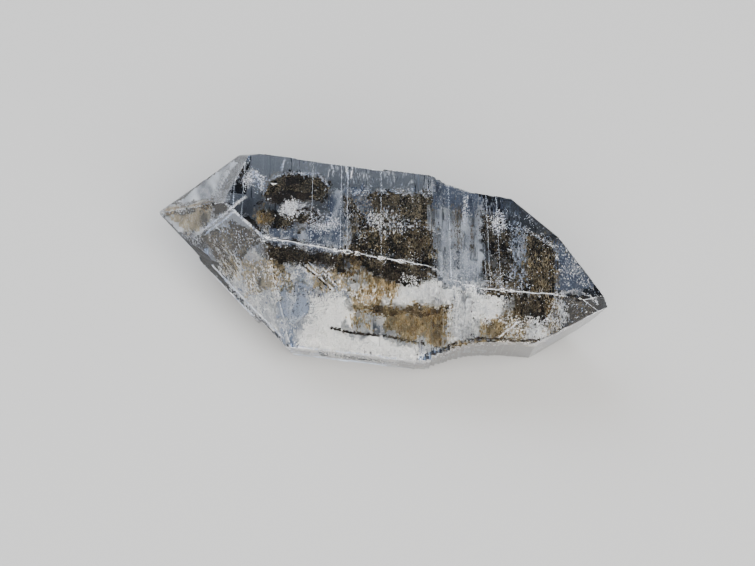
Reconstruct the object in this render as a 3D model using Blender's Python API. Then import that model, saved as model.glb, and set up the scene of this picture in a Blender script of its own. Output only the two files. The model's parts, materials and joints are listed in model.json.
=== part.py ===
"""Petroleum quartz: one loose, doubly terminated crystal of clear quartz lying on a prism face.

The crystal is one solid. Its long axis (the c-axis) runs along +X, the rest is at z = 0, and the
middle of the box it fills is over the origin. Six prism faces run along it. Two stretches of
crystal of unlike section grew in parallel, so a stepped waist joins them, and each end comes to a
point between flat sloping faces. All lengths below are in millimetres and are turned into metres
where the mesh is made.
"""

import math
import random

import bmesh
import bpy
import numpy as np
from mathutils import Matrix, Vector

MM = 0.001

# Rest and long axis
AXIS_HEIGHT = 3.6

# Prism faces, by the angle of each face's normal from straight up, turning toward the front (-Y)
FACE_ANGLE = {
    "top": 0.0,
    "front_upper": 60.0,
    "front_lower": 120.0,
    "bottom": 180.0,
    "back_lower": 240.0,
    "back_upper": 300.0,
}
FACES = list(FACE_ANGLE)

# Distance of each prism face from the long axis, at the two ends of the larger stretch
LARGE_SPAN = (-7.0, 2.0)
LARGE_LEFT = {
    "top": 4.09,
    "front_upper": 4.01,
    "front_lower": 5.01,
    "bottom": 3.60,
    "back_lower": 5.02,
    "back_upper": 4.95,
}
LARGE_RIGHT = {
    "top": 3.95,
    "front_upper": 4.27,
    "front_lower": 4.81,
    "bottom": 3.60,
    "back_lower": 4.98,
    "back_upper": 4.97,
}

# The same for the smaller stretch
SMALL_SPAN = (5.0, 9.5)
SMALL_LEFT = {
    "top": 3.50,
    "front_upper": 4.58,
    "front_lower": 3.43,
    "bottom": 3.60,
    "back_lower": 4.70,
    "back_upper": 4.37,
}
SMALL_RIGHT = {
    "top": 3.63,
    "front_upper": 4.49,
    "front_lower": 3.13,
    "bottom": 3.60,
    "back_lower": 4.62,
    "back_upper": 4.28,
}

# How far the change from large to small has gone, along the waist: (place, share)
WAIST_UPPER = ((2.62, 0.0), (2.85, 0.18), (3.10, 0.36), (3.45, 0.60), (4.30, 0.85), (5.05, 1.0))
WAIST_LOWER = ((1.75, 0.0), (2.25, 0.08), (3.00, 0.40), (3.82, 0.66), (4.50, 0.84), (5.95, 1.0))
LOWER_FACES = ("front_lower", "back_lower")

# Growth steps run across the faces, a little askew of square to the long axis
STEP_LEAN = math.tan(math.radians(10.0))
BODY_END = 15.0
RISER_RUN = 0.04
LARGE_TREADS = (0.25, 1.10)
WAIST_TREADS = (0.10, 0.34)
SMALL_TREADS = (0.22, 0.80)
STEP_HEIGHT = 0.018
WAIST_ROUGHNESS = 0.03
SEED = 23

# End faces: where each one crosses the long axis, the angle of its normal from straight up
# turning toward the front, and its slope from the long axis
LEFT_END = {
    "top": (-12.86, -7.5, 40.6),
    "front_upper": (-10.21, 73.5, 36.7),
    "front_lower": (-10.75, 120.0, 38.1),
    "bottom": (-12.50, 180.0, 38.2),
    "back_lower": (-14.60, 240.0, 38.2),
    "back_upper": (-14.72, 301.2, 37.2),
}
RIGHT_END = {
    "top": (13.87, -5.3, 36.1),
    "front_upper": (14.47, 69.7, 39.15),
    "front_lower": (12.67, 123.2, 36.9),
    "bottom": (13.10, 180.0, 38.2),
    "back_lower": (12.60, 240.0, 38.2),
    "back_upper": (10.25, 274.0, 38.5),
    "shoulder": (31.9, 350.7, 8.8),
}

# Breakage: flat breaks at the right tip, the left tip and the worn corner behind it, each as a
# point and the direction it faces, then shell-shaped chips along the edges
FLAT_BREAKS = (
    ((11.80, -1.42, 4.95), (0.80, -0.30, 0.52)),
    ((11.92, -1.50, 4.95), (0.93, 0.30, 0.20)),
    ((-12.49, 1.80, 3.68), (-0.86, -0.16, 0.48)),
    ((-7.57, 3.25, 7.58), (-0.24, 0.61, 0.76)),
)
WORN_EDGES = (
    ("large", "top", "front_upper", -5.4, 2.6, 13),
    ("small", "top", "front_upper", 5.2, 9.0, 7),
    ("large", "top", "back_upper", -7.2, 2.0, 8),
    ("small", "top", "back_upper", 5.2, 6.4, 2),
    ("large", "front_upper", "front_lower", -3.6, 2.2, 5),
    ("small", "front_upper", "front_lower", 5.6, 8.6, 4),
    ("large", "front_lower", "bottom", -4.0, 1.6, 4),
    ("large", "back_upper", "back_lower", -6.0, 2.0, 7),
    ("small", "back_upper", "back_lower", 5.4, 8.2, 3),
    ("left", "top", "front_upper", -12.0, -8.4, 6),
    ("left", "front_lower", "bottom", -10.5, -5.6, 5),
    ("left", "top", "back_upper", -12.0, -8.2, 4),
    ("right", "top", "front_upper", 9.8, 11.6, 4),
    ("right", "front_upper", "front_lower", 9.4, 11.8, 4),
)
CHIP_LENGTH = (0.14, 0.42)
CHIP_DEPTH = 0.20
CHIP_HALF_ANGLE = 52.0
CHIP_ALONG = (1.0, 1.6)
CHIP_ACROSS = (0.8, 1.1)

# Etch pits: stretch, face, place along the axis, place across the face, width, depth
PITS = (
    ("large", "top", -5.9, -1.30, 0.42, 0.10),
    ("large", "top", -2.2, 1.10, 0.30, 0.08),
    ("large", "top", 0.9, -0.40, 0.24, 0.07),
    ("large", "front_upper", -2.9, 0.90, 0.36, 0.09),
    ("large", "front_upper", 1.1, -1.40, 0.28, 0.08),
    ("small", "top", 6.6, 0.60, 0.34, 0.09),
    ("small", "front_upper", 7.5, 0.10, 0.24, 0.07),
    ("large", "back_upper", -4.4, 0.60, 0.48, 0.12),
    ("large", "back_upper", 0.2, -0.90, 0.34, 0.09),
    ("large", "back_lower", -1.6, 0.40, 0.44, 0.10),
    ("small", "back_lower", 6.9, -0.30, 0.30, 0.08),
    ("left", "front_upper", -8.0, 0.90, 0.30, 0.07),
    ("left", "top", -10.0, -0.20, 0.24, 0.06),
    ("right", "top", 10.1, 0.30, 0.26, 0.07),
    ("right", "back_upper", 9.6, 0.20, 0.34, 0.08),
)

# Growth terraces, each a shallow flat left lower than the face round it: stretch, face, place,
# place across, then the corners of its outline as steps along and across, and its depth
TERRACES = (
    ("large", "front_lower", -1.0, -1.0, ((-1.6, -1.2), (1.9, -1.2), (1.8, 0.5), (-1.4, 0.8)), 0.070),
    ("large", "back_upper", -2.6, 1.8, ((-2.4, -0.7), (2.0, -0.4), (2.3, 1.4), (-2.8, 1.4)), 0.080),
    ("large", "back_lower", -3.2, -1.5, ((-1.9, -1.2), (3.2, -1.2), (2.7, 0.5), (-1.5, 0.7)), 0.090),
    ("small", "back_upper", 6.6, -0.2, ((-0.9, -1.1), (1.2, -0.8), (1.0, 0.9), (-0.5, 0.8)), 0.060),
    ("left", "front_lower", -11.3, 0.2, ((-1.8, -1.9), (1.7, -1.7), (2.3, 1.6), (-1.8, 1.6)), 0.140),
    ("left", "front_lower", -4.9, 0.0, ((-1.9, -2.4), (2.4, -2.4), (2.4, 2.4), (-1.6, 2.4)), 0.190),
    ("left", "back_lower", -9.2, 0.3, ((-1.4, -0.9), (1.1, -1.1), (0.7, 0.9), (-0.9, 0.8)), 0.070),
    ("right", "back_upper", 9.2, -0.9, ((-0.9, -0.9), (0.8, -0.7), (0.9, 0.6), (-0.6, 0.7)), 0.050),
    ("right", "bottom", 10.4, 0.2, ((-0.9, -0.9), (1.0, -0.7), (0.8, 0.8), (-0.7, 0.7)), 0.060),
)

TERRACE_CLEARANCE = 0.6

# The flat spot it rests on; the rest of the bottom face is a little higher
REST_SPAN = (-5.6, 1.7)
BOTTOM_LIFT = (0.02, 0.06)

QUARTZ_IOR = 1.544


def clear_scene():
    """Start from nothing."""
    for item in list(bpy.data.objects):
        bpy.data.objects.remove(item, do_unlink=True)


def add_collection(name):
    """A collection under the scene's own."""
    made = bpy.data.collections.new(name)
    bpy.context.scene.collection.children.link(made)
    return made


def radial(angle):
    """The direction square to the long axis at this angle from straight up, toward the front."""
    turn = math.radians(angle)
    return Vector((0.0, -math.sin(turn), math.cos(turn)))


def along_span(place, span, left, right):
    """A value that changes evenly from one end of a span to the other, and on past both."""
    share = (place - span[0]) / (span[1] - span[0])
    return left + (right - left) * share


def waist_share(face, place):
    """How far the section has gone from the large stretch's to the small one's."""
    profile = WAIST_LOWER if face in LOWER_FACES else WAIST_UPPER
    places, shares = zip(*profile)
    return float(np.interp(place, places, shares))


def face_distance(face, place):
    """How far a prism face lies from the long axis at this place along it."""
    large = along_span(place, LARGE_SPAN, LARGE_LEFT[face], LARGE_RIGHT[face])
    small = along_span(place, SMALL_SPAN, SMALL_LEFT[face], SMALL_RIGHT[face])
    share = waist_share(face, place)
    return large * (1.0 - share) + small * share


def plane_of(stretch, face, place):
    """A face's plane, as its normal and a point on it: a prism face, or an end face."""
    if stretch in ("large", "small"):
        normal = radial(FACE_ANGLE[face])
        middle = Vector((place, 0.0, AXIS_HEIGHT))
        return normal, middle + normal * face_distance(face, place)
    end = LEFT_END if stretch == "left" else RIGHT_END
    side = -1.0 if stretch == "left" else 1.0
    crossing, angle, slope = end[face]
    lean = math.radians(slope)
    normal = radial(angle) * math.cos(lean) + Vector((side * math.sin(lean), 0.0, 0.0))
    return normal, Vector((crossing, 0.0, AXIS_HEIGHT))


def face_frame(stretch, face, place, across):
    """A frame on a face: its x runs along the crystal, its y across the face, its z outward."""
    normal, point = plane_of(stretch, face, place)
    side = normal.cross(Vector((1.0, 0.0, 0.0))).normalized()
    forward = side.cross(normal)
    point = point + forward * ((place - point.x) / forward.x)
    frame = Matrix((forward, side, normal)).transposed().to_4x4()
    frame.translation = (point - side * across) * MM
    return frame


def on_edge(stretch, face_a, face_b, place):
    """The point where two faces' edge passes this place, and the way out from it."""
    normal_a, point_a = plane_of(stretch, face_a, place)
    normal_b, point_b = plane_of(stretch, face_b, place)
    rows = np.array((normal_a, normal_b, (1.0, 0.0, 0.0)))
    sums = np.array((normal_a.dot(point_a), normal_b.dot(point_b), place))
    outward = (normal_a + normal_b).normalized()
    return Vector(np.linalg.solve(rows, sums)), outward


def tread_list(rng):
    """The flat treads between growth steps, from one end of the crystal to the other."""
    waist_start = WAIST_LOWER[0][0]
    waist_end = WAIST_LOWER[-1][0]
    treads = []
    place = -BODY_END
    while place < BODY_END:
        if place < waist_start:
            width = min(rng.uniform(*LARGE_TREADS), waist_start - place)
        elif place < waist_end:
            width = rng.uniform(*WAIST_TREADS)
        else:
            width = rng.uniform(*SMALL_TREADS)
        treads.append((place, place + width))
        place += width + RISER_RUN
    return treads


def tread_offset(face, middle, rng):
    """How far one tread of one face stands off the even face."""
    if face == "bottom":
        lift = -rng.uniform(*BOTTOM_LIFT)
        return 0.0 if REST_SPAN[0] < middle < REST_SPAN[1] else lift
    height = rng.uniform(-STEP_HEIGHT, STEP_HEIGHT)
    if 0.0 < waist_share(face, middle) < 1.0:
        height += rng.uniform(-WAIST_ROUGHNESS, WAIST_ROUGHNESS)
    return height


def section_corners(distances):
    """The six corners of a section, as (toward the front, up) pairs, from its faces' distances."""
    corners = []
    for index, face in enumerate(FACES):
        after = FACES[(index + 1) % len(FACES)]
        rows = []
        for name in (face, after):
            turn = math.radians(FACE_ANGLE[name])
            rows.append((math.sin(turn), math.cos(turn)))
        corners.append(np.linalg.solve(np.array(rows), np.array((distances[face], distances[after]))))
    return corners


def stepped_body(rng):
    """The prism with its growth steps: a loft through the section at both ends of every tread."""
    bm = bmesh.new()
    rings = []
    for start, stop in tread_list(rng):
        middle = (start + stop) / 2.0
        offsets = {face: tread_offset(face, middle, rng) for face in FACES}
        in_waist = WAIST_LOWER[0][0] < middle < WAIST_LOWER[-1][0]
        for place in (start, stop):
            measured = middle if in_waist else place
            distances = {face: face_distance(face, measured) + offsets[face] for face in FACES}
            ring = []
            for front, up in section_corners(distances):
                point = Vector((place + STEP_LEAN * front, -front, AXIS_HEIGHT + up))
                ring.append(bm.verts.new(point * MM))
            rings.append(ring)
    for ring, following in zip(rings, rings[1:]):
        for index in range(len(FACES)):
            after = (index + 1) % len(FACES)
            bm.faces.new((ring[index], ring[after], following[after], following[index]))
    bm.faces.new(rings[0])
    bm.faces.new(rings[-1])
    bmesh.ops.recalc_face_normals(bm, faces=bm.faces[:])
    return bm


def cut_flat(bm, point, normal):
    """Take off what lies past a plane and close the cut with one flat face."""
    everything = bm.verts[:] + bm.edges[:] + bm.faces[:]
    cut = bmesh.ops.bisect_plane(
        bm,
        geom=everything,
        dist=1e-9,
        plane_co=point * MM,
        plane_no=normal,
        clear_outer=True,
    )
    rim = [item for item in cut["geom_cut"] if isinstance(item, bmesh.types.BMEdge)]
    if rim:
        bmesh.ops.contextual_create(bm, geom=rim)


def add_object(name, bm, collection):
    """A mesh object from a finished bmesh."""
    mesh = bpy.data.meshes.new(name)
    bm.to_mesh(mesh)
    bm.free()
    made = bpy.data.objects.new(name, mesh)
    collection.objects.link(made)
    return made


def add_terrace(index, row, collection):
    """The slab that leaves one terrace when it is taken off a face."""
    stretch, face, place, across, outline, depth = row
    frame = face_frame(stretch, face, place, across)
    bm = bmesh.new()
    corners = [bm.verts.new((x * MM, y * MM, -depth * MM)) for x, y in outline]
    base = bmesh.ops.contextual_create(bm, geom=corners)["faces"]
    raised = bmesh.ops.extrude_face_region(bm, geom=base)
    tops = [item for item in raised["geom"] if isinstance(item, bmesh.types.BMVert)]
    bmesh.ops.translate(bm, verts=tops, vec=(0.0, 0.0, TERRACE_CLEARANCE * MM))
    bmesh.ops.recalc_face_normals(bm, faces=bm.faces[:])
    bmesh.ops.transform(bm, matrix=frame, verts=bm.verts[:])
    return add_object(f"terrace_{index}", bm, collection)


def add_pit(index, row, rng, collection):
    """The three-sided point that leaves one etch pit."""
    stretch, face, place, across, width, depth = row
    frame = face_frame(stretch, face, place, across)
    bm = bmesh.new()
    bmesh.ops.create_cone(
        bm,
        cap_ends=True,
        segments=3,
        radius1=0.0,
        radius2=width * MM,
        depth=2.0 * depth * MM,
        matrix=Matrix.Rotation(rng.uniform(0.0, math.tau), 4, "Z"),
    )
    bmesh.ops.recalc_face_normals(bm, faces=bm.faces[:])
    bmesh.ops.transform(bm, matrix=frame, verts=bm.verts[:])
    return add_object(f"pit_{index}", bm, collection)


def add_chips(rng, collection):
    """The rounded bites that leave shell-shaped chips along the worn edges."""
    count = 0
    for stretch, face_a, face_b, start, stop, number in WORN_EDGES:
        for _ in range(number):
            place = rng.uniform(start, stop)
            point, outward = on_edge(stretch, face_a, face_b, place)
            length = rng.uniform(*CHIP_LENGTH)
            radius = 0.5 * length / math.sin(math.radians(CHIP_HALF_ANGLE))
            centre = point + outward * (radius - CHIP_DEPTH * length)
            stretchings = (rng.uniform(*CHIP_ALONG), rng.uniform(*CHIP_ACROSS), 1.0)
            spin = Matrix.Rotation(rng.uniform(0.0, math.tau), 4, outward)
            shape = Matrix.Diagonal((*stretchings, 1.0))
            bm = bmesh.new()
            bmesh.ops.create_icosphere(bm, subdivisions=2, radius=radius * MM)
            moved = Matrix.Translation(centre * MM) @ shape @ spin
            bmesh.ops.transform(bm, matrix=moved, verts=bm.verts[:])
            add_object(f"chip_{count}", bm, collection)
            count += 1


def quartz_material():
    """Clear quartz."""
    material = bpy.data.materials.new("clear_quartz")
    material.use_nodes = True
    surface = material.node_tree.nodes["Principled BSDF"]
    surface.inputs["Base Color"].default_value = (0.93, 0.93, 0.92, 1.0)
    surface.inputs["Roughness"].default_value = 0.05
    surface.inputs["IOR"].default_value = QUARTZ_IOR
    surface.inputs["Transmission Weight"].default_value = 1.0
    return material


def centre_on_origin(bm):
    """Move the crystal so that the middle of its box is over the origin and its rest is at z = 0."""
    points = np.array([tuple(vert.co) for vert in bm.verts])
    low = points.min(axis=0)
    high = points.max(axis=0)
    shift = Vector((-(low[0] + high[0]) / 2.0, -(low[1] + high[1]) / 2.0, -low[2]))
    bmesh.ops.translate(bm, verts=bm.verts[:], vec=shift)
    return shift


def build():
    """Model the crystal and its cutters."""
    clear_scene()
    rng = random.Random(SEED)
    solids = add_collection("petroleum_quartz")
    cutters = add_collection("cutters")
    cutters.hide_render = True

    bm = stepped_body(rng)
    for stretch, faces in (("left", LEFT_END), ("right", RIGHT_END)):
        for face in faces:
            normal, point = plane_of(stretch, face, 0.0)
            cut_flat(bm, point, normal)
    for point, normal in FLAT_BREAKS:
        cut_flat(bm, Vector(point), Vector(normal).normalized())
    bmesh.ops.recalc_face_normals(bm, faces=bm.faces[:])
    shift = centre_on_origin(bm)
    crystal = add_object("quartz_crystal", bm, solids)
    crystal.data.materials.append(quartz_material())

    for index, row in enumerate(TERRACES):
        add_terrace(index, row, cutters)
    for index, row in enumerate(PITS):
        add_pit(index, row, rng, cutters)
    add_chips(rng, cutters)
    for cutter in cutters.objects:
        cutter.data.transform(Matrix.Translation(shift))
        cutter.display_type = "WIRE"
        cutter.hide_render = True
    wear = crystal.modifiers.new("growth_and_wear", "BOOLEAN")
    wear.operation = "DIFFERENCE"
    wear.solver = "EXACT"
    wear.operand_type = "COLLECTION"
    wear.collection = cutters


build()
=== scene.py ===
# %% [markdown]
# # A petroleum quartz crystal, finished around its CAD solid
# Petroleum quartz is clear rock crystal that shut drops of oil, gas bubbles and black bitumen inside
# itself while it grew. The CAD solid gives the outer faces. This lesson gives them clear quartz, frosts
# the worn edges, and fills the inside with the small things that make such a crystal worth looking at.
# Sizes are in metres. The crystal is 24.5 mm long, so most values are written times MM.

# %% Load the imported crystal
import json
import math
import random
from collections import namedtuple

import bmesh
import bpy
from mathutils import Matrix, Vector, noise
from mathutils.bvhtree import BVHTree

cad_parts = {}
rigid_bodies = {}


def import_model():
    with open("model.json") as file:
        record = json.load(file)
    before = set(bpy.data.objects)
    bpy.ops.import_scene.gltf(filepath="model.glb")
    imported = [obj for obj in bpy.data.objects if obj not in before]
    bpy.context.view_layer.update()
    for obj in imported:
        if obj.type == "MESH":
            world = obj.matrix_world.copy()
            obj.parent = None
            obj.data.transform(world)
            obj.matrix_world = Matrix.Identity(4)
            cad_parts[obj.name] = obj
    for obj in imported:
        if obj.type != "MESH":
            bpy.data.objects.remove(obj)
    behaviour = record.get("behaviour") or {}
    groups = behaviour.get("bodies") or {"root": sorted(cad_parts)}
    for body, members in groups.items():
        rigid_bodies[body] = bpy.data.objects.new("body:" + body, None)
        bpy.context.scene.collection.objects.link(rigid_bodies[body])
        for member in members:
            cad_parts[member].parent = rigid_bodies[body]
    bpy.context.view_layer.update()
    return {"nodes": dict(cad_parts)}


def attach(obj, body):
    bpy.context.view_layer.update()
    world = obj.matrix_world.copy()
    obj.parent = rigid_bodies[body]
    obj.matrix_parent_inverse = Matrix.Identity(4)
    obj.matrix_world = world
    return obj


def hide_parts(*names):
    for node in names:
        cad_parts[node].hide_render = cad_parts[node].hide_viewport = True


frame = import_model()
MM = 0.001
NODE = "quartz_crystal"
crystal_node = frame["nodes"][NODE]

# %% [markdown]
# ## The camera
# The photograph was taken from above and a little to the right, with a long lens. The camera comes
# first, because the places of the drops and veils inside are given as pixels of its picture.

# %% Set the camera
PHOTO_WIDTH = 755
PHOTO_HEIGHT = 566
LENS = 85.0
SENSOR = 36.0
CAMERA_TURN = math.radians(10.06)
CAMERA_RISE = math.radians(50.0)
CAMERA_DISTANCE = 93.8 * MM
CAMERA_AIM = Vector((0.168, -0.777, 3.090)) * MM


def compass(turn, rise):
    """The direction at a turn round the crystal, from the front, and a rise above the floor."""
    level = math.cos(rise)
    return Vector((math.sin(turn) * level, -math.cos(turn) * level, math.sin(rise)))


back = compass(CAMERA_TURN, CAMERA_RISE)
camera_data = bpy.data.cameras.new("camera")
camera_data.lens = LENS
camera_data.sensor_width = SENSOR
camera_data.clip_start = 1 * MM
camera_data.clip_end = 10.0
camera = bpy.data.objects.new("camera", camera_data)
bpy.context.scene.collection.objects.link(camera)
camera.rotation_mode = "QUATERNION"
camera.location = CAMERA_AIM + back * CAMERA_DISTANCE
camera.rotation_quaternion = (-back).to_track_quat("-Z", "Y")
bpy.context.scene.camera = camera
print("camera at, mm:", [round(value / MM, 1) for value in camera.location])

# %% [markdown]
# ## From a pixel to a point inside
# Light bends as it enters quartz, so a drop doesn't lie straight behind the pixel that shows it.
# The ray from the camera is cast onto the crystal, bent there as glass bends it, and followed for a
# chosen depth. A drop placed in this way looks right from the camera and is still truly inside.

# %% Bend a ray into the crystal
QUARTZ_IOR = 1.544
SKIN = 0.10 * MM
LEAST_ROOM = 3 * SKIN
STEP_IN = 0.001 * MM
pixel_reach = LENS / SENSOR * PHOTO_WIDTH
camera_right = Vector((math.cos(CAMERA_TURN), math.sin(CAMERA_TURN), 0.0))
camera_up = back.cross(camera_right)
solid = bmesh.new()
solid.from_mesh(crystal_node.data)
outside = BVHTree.FromBMesh(solid)
solid.free()


def pixel_ray(across, down):
    """The direction in which the camera sees a pixel of the photograph."""
    ray = -back * pixel_reach
    ray += camera_right * (across - PHOTO_WIDTH / 2)
    ray -= camera_up * (down - PHOTO_HEIGHT / 2)
    return ray.normalized()


def bent(ray, normal):
    """The ray after it enters quartz through a face with this normal."""
    share = 1 / QUARTZ_IOR
    facing = -ray.dot(normal)
    inward = math.sqrt(1 - share * share * (1 - facing * facing))
    return (ray * share + normal * (share * facing - inward)).normalized()


def enter(origin, ray, depth):
    """A point depth inside the crystal along a ray that bends as it enters, and the bent ray."""
    hit, normal, _, _ = outside.ray_cast(origin, ray)
    if hit is None:
        return None
    if normal.dot(ray) > 0:
        normal = -normal
    inward = bent(ray, normal)
    _, _, _, room = outside.ray_cast(hit + inward * STEP_IN, inward)
    if room is None or room < LEAST_ROOM:
        return None
    return hit + inward * min(max(depth, SKIN), room - SKIN), inward


sample_point, _ = enter(camera.location, pixel_ray(390, 300), 2 * MM)
print("2 mm behind pixel 390, 300, mm:", [round(value / MM, 2) for value in sample_point])

# %% [markdown]
# ## Shader groups
# An effect can be wired anew in every material, or built once as a node group with named sockets and
# placed where it is wanted. The second way is used here, because one change then reaches every piece.
# Two helpers make a group and place it.

# %% Build the shader groups


def shader_group(name, inputs, outputs):
    """A shader node group with named inputs (name, kind, value) and outputs (name, kind)."""
    group = bpy.data.node_groups.new(name, "ShaderNodeTree")
    for title, kind, value in inputs:
        socket = group.interface.new_socket(title, in_out="INPUT", socket_type=kind)
        socket.default_value = value
    for title, kind in outputs:
        group.interface.new_socket(title, in_out="OUTPUT", socket_type=kind)
    return group, group.nodes.new("NodeGroupInput"), group.nodes.new("NodeGroupOutput")


def place_group(material, group, values):
    """Puts a group in a material with its own values and returns the node."""
    node = material.node_tree.nodes.new("ShaderNodeGroup")
    node.node_tree = group
    for title, value in values.items():
        node.inputs[title].default_value = value
    return node


# %% [markdown]
# Quartz grows in thin layers, which leave fine lines across its faces, square to its long axis. They
# could be cut into the mesh, but they are finer than a hair, so a noise that is stretched along them
# gives a height for a Bump node. The lines lean a little, as they do on the real crystal.

# %% Build the growth lines
GROWTH_LINES = 9000.0
GROWTH_LEAN = 0.17
GROWTH_DRIFT = 250.0
GROWTH_DETAIL = 3.0


def growth_line_group():
    """Height of fine lines across the crystal, made from noise that is stretched along them."""
    group, given, result = shader_group(
        "growth_lines",
        [("Lines per metre", "NodeSocketFloat", GROWTH_LINES),
         ("Lean", "NodeSocketFloat", GROWTH_LEAN)],
        [("Height", "NodeSocketFloat")],
    )
    nodes, links = group.nodes, group.links
    place = nodes.new("ShaderNodeTexCoord")
    apart = nodes.new("ShaderNodeSeparateXYZ")
    links.new(place.outputs["Object"], apart.inputs["Vector"])
    leaned = nodes.new("ShaderNodeMath")
    leaned.operation = "MULTIPLY_ADD"
    links.new(apart.outputs["Y"], leaned.inputs[0])
    links.new(given.outputs["Lean"], leaned.inputs[1])
    links.new(apart.outputs["X"], leaned.inputs[2])
    fine = nodes.new("ShaderNodeMath")
    fine.operation = "MULTIPLY"
    links.new(leaned.outputs["Value"], fine.inputs[0])
    links.new(given.outputs["Lines per metre"], fine.inputs[1])
    drift = nodes.new("ShaderNodeMath")
    drift.operation = "MULTIPLY"
    drift.inputs[1].default_value = GROWTH_DRIFT
    links.new(apart.outputs["Z"], drift.inputs[0])
    joined = nodes.new("ShaderNodeCombineXYZ")
    links.new(fine.outputs["Value"], joined.inputs["X"])
    links.new(drift.outputs["Value"], joined.inputs["Y"])
    grainy = nodes.new("ShaderNodeTexNoise")
    grainy.inputs["Scale"].default_value = 1.0
    grainy.inputs["Detail"].default_value = GROWTH_DETAIL
    links.new(joined.outputs["Vector"], grainy.inputs["Vector"])
    links.new(grainy.outputs["Fac"], result.inputs["Height"])
    return group


growth_lines = growth_line_group()
print(growth_lines.name, "has", len(growth_lines.nodes), "nodes")

# %% [markdown]
# Nothing inside the crystal has one flat colour. Mottling mixes two colours by the tone that each fleck
# carries and by a cloud in Object coordinates, so that neighbours differ a little and whole patches
# differ more. One colour for each fleck would need thousands of materials.

# %% Build the mottling
MOTTLE_STRETCH = (1.0, 0.4, 0.4)
MOTTLE_DETAIL = 5.0
MOTTLE_ROUGHNESS = 0.65
CLOUD_MIDDLE = 0.5
MOTTLE_DARK = (0.1, 0.1, 0.1, 1.0)
MOTTLE_LIGHT = (0.9, 0.9, 0.9, 1.0)
MOTTLE_PATCHES = 900.0
MOTTLE_PATCHINESS = 0.5


def mottle_group():
    """A colour between two, chosen by each fleck's tone and by a soft cloud over the crystal."""
    group, given, result = shader_group(
        "mottle",
        [
            ("Dark", "NodeSocketColor", MOTTLE_DARK),
            ("Light", "NodeSocketColor", MOTTLE_LIGHT),
            ("Patches per metre", "NodeSocketFloat", MOTTLE_PATCHES),
            ("Patchiness", "NodeSocketFloat", MOTTLE_PATCHINESS),
        ],
        [("Color", "NodeSocketColor")],
    )
    nodes, links = group.nodes, group.links
    tone = nodes.new("ShaderNodeAttribute")
    tone.attribute_name = "tone"
    place = nodes.new("ShaderNodeTexCoord")
    stretched = nodes.new("ShaderNodeVectorMath")
    stretched.operation = "MULTIPLY"
    stretched.inputs[1].default_value = MOTTLE_STRETCH
    links.new(place.outputs["Object"], stretched.inputs[0])
    cloud = nodes.new("ShaderNodeTexNoise")
    cloud.inputs["Detail"].default_value = MOTTLE_DETAIL
    cloud.inputs["Roughness"].default_value = MOTTLE_ROUGHNESS
    links.new(stretched.outputs["Vector"], cloud.inputs["Vector"])
    links.new(given.outputs["Patches per metre"], cloud.inputs["Scale"])
    centred = nodes.new("ShaderNodeMath")
    centred.operation = "SUBTRACT"
    centred.inputs[1].default_value = CLOUD_MIDDLE
    links.new(cloud.outputs["Fac"], centred.inputs[0])
    mixed = nodes.new("ShaderNodeMath")
    mixed.operation = "MULTIPLY_ADD"
    mixed.use_clamp = True
    links.new(centred.outputs["Value"], mixed.inputs[0])
    links.new(given.outputs["Patchiness"], mixed.inputs[1])
    links.new(tone.outputs["Fac"], mixed.inputs[2])
    blend = nodes.new("ShaderNodeMix")
    blend.data_type = "RGBA"
    links.new(mixed.outputs["Value"], blend.inputs["Factor"])
    links.new(given.outputs["Dark"], blend.inputs["A"])
    links.new(given.outputs["Light"], blend.inputs["B"])
    links.new(blend.outputs["Result"], result.inputs["Color"])
    return group


mottle = mottle_group()
print(mottle.name, "has", len(mottle.nodes), "nodes")

# %% [markdown]
# Every material has one Principled shader. Those of the flecks differ in their two mottled colours and
# in a few plain values: how rough, how clear and how metallic they are, and how much they bend light.

# %% Make materials


def new_material(name):
    """An empty node material with one Principled shader, and its output."""
    material = bpy.data.materials.new(name)
    material.use_nodes = True
    nodes = material.node_tree.nodes
    nodes.clear()
    output = nodes.new("ShaderNodeOutputMaterial")
    shader = nodes.new("ShaderNodeBsdfPrincipled")
    material.node_tree.links.new(shader.outputs["BSDF"], output.inputs["Surface"])
    return material, shader, output


def fleck_material(name, dark, light, patches, patchiness, roughness, ior, clearness, metal=0.0):
    """A material for flecks: two mottled colours, and plain values for everything else."""
    material, shader, _ = new_material(name)
    colours = place_group(material, mottle, {
        "Dark": (*dark, 1.0), "Light": (*light, 1.0),
        "Patches per metre": patches, "Patchiness": patchiness,
    })
    material.node_tree.links.new(colours.outputs["Color"], shader.inputs["Base Color"])
    shader.inputs["Roughness"].default_value = roughness
    shader.inputs["IOR"].default_value = ior
    shader.inputs["Transmission Weight"].default_value = clearness
    shader.inputs["Metallic"].default_value = metal
    return material


# %% [markdown]
# ## The crystal's own mesh
# The CAD mesh is loose triangles. A copy of it is welded and its flat neighbours are joined into whole
# faces, so that each crystal face shades flat. The CAD node itself stays untouched for the simulation.

# %% Weld the crystal
WELD = 0.0005 * MM
FLAT = math.radians(0.6)


def link_piece(name, mesh, material):
    """A new object at the origin that rides with the crystal and has one material."""
    mesh.materials.clear()
    mesh.materials.append(material)
    piece = bpy.data.objects.new(name, mesh)
    bpy.context.scene.collection.objects.link(piece)
    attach(piece, "root")
    return piece


welded = bmesh.new()
welded.from_mesh(crystal_node.data)
bmesh.ops.remove_doubles(welded, verts=welded.verts, dist=WELD)
bmesh.ops.dissolve_limit(
    welded, angle_limit=FLAT, use_dissolve_boundaries=False,
    verts=welded.verts, edges=welded.edges, delimit=set(),
)
open_edges = sum(not edge.is_manifold for edge in welded.edges)
print("crystal:", len(welded.faces), "faces,", open_edges, "open edges")
crystal_mesh = bpy.data.meshes.new("quartz_shell")
welded.to_mesh(crystal_mesh)

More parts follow.
